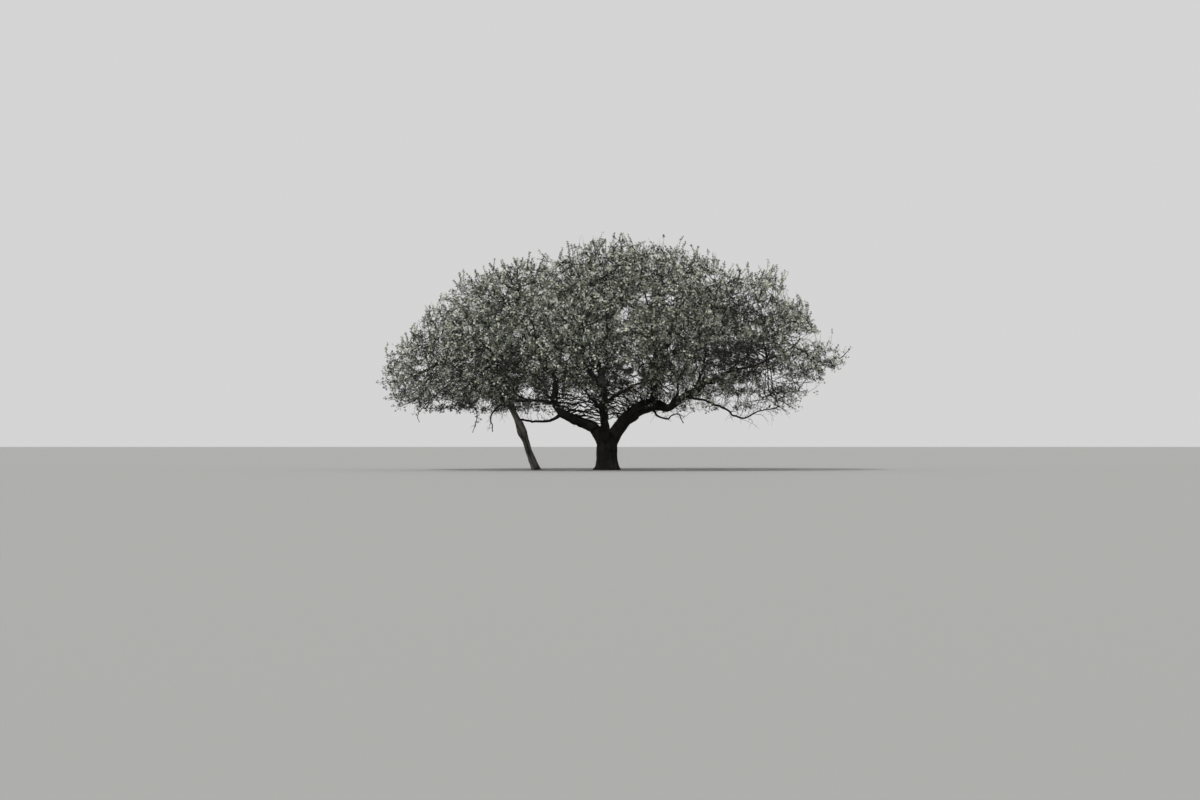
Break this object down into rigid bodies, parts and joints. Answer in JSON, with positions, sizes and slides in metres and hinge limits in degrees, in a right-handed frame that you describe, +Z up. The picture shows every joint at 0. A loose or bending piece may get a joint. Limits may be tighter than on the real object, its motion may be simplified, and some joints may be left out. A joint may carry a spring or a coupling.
{
  "type": "acacia tree",
  "caption": "Spreading, flat-bottomed acacia tree with a short trunk that forks low, a thin second stem beside it and a broad domed crown of fine foliage.",
  "frame": {"origin": "centre of the flat cut under the trunk, at ground level", "axes": "+Z up, +X to the right along the crown's long way in the side shown, +Y away from that side"},
  "size_m": [12.3356, 9.6261, 6.0516],
  "materials": {
    "bark": "rough, dark, fissured bark",
    "pale_bark": "rough grey bark, paler than the trunk's",
    "foliage": "matt, small-leaved greyish foliage"
  },
  "bodies": {
    "root": {"trunk": "bark", "left_bough": "bark", "right_bough": "bark", "centre_bough": "bark", "back_bough": "bark", "front_bough": "bark", "second_stem": "pale_bark", "right_riser": "bark", "left_low_bough": "bark", "right_low_bough": "bark", "bough_rim_2": "bark", "bough_rim_3": "bark", "bough_rim_5": "bark", "bough_rim_8": "bark", "bough_rim_10": "bark", "bough_shoulder_1": "bark", "bough_shoulder_2": "bark", "bough_shoulder_3": "bark", "bough_shoulder_5": "bark", "bough_shoulder_6": "bark", "bough_shoulder_7": "bark", "bough_top_2": "bark", "bough_inner_1": "bark", "bough_inner_2": "bark", "bough_inner_3": "bark", "bough_inner_4": "bark", "bough_inner_5": "bark", "cross_branch": "bark", "dead_limb_right": "bark", "dead_limb_left": "bark", "foliage_shoulder_4": "foliage", "foliage_rim_1": "foliage", "foliage_top_1": "foliage", "foliage_rim_4": "foliage", "foliage_rim_9": "foliage", "foliage_rim_6": "foliage", "foliage_top_3": "foliage", "foliage_rim_7": "foliage", "foliage_rim_11": "foliage", "foliage_rim_2": "foliage", "foliage_rim_3": "foliage", "foliage_rim_5": "foliage", "foliage_rim_8": "foliage", "foliage_rim_10": "foliage", "foliage_shoulder_1": "foliage", "foliage_shoulder_2": "foliage", "foliage_shoulder_3": "foliage", "foliage_shoulder_5": "foliage", "foliage_shoulder_6": "foliage", "foliage_shoulder_7": "foliage", "foliage_top_2": "foliage", "foliage_inner_1": "foliage", "foliage_inner_2": "foliage", "foliage_inner_3": "foliage", "foliage_inner_4": "foliage", "foliage_inner_5": "foliage"}
  },
  "joints": []
}
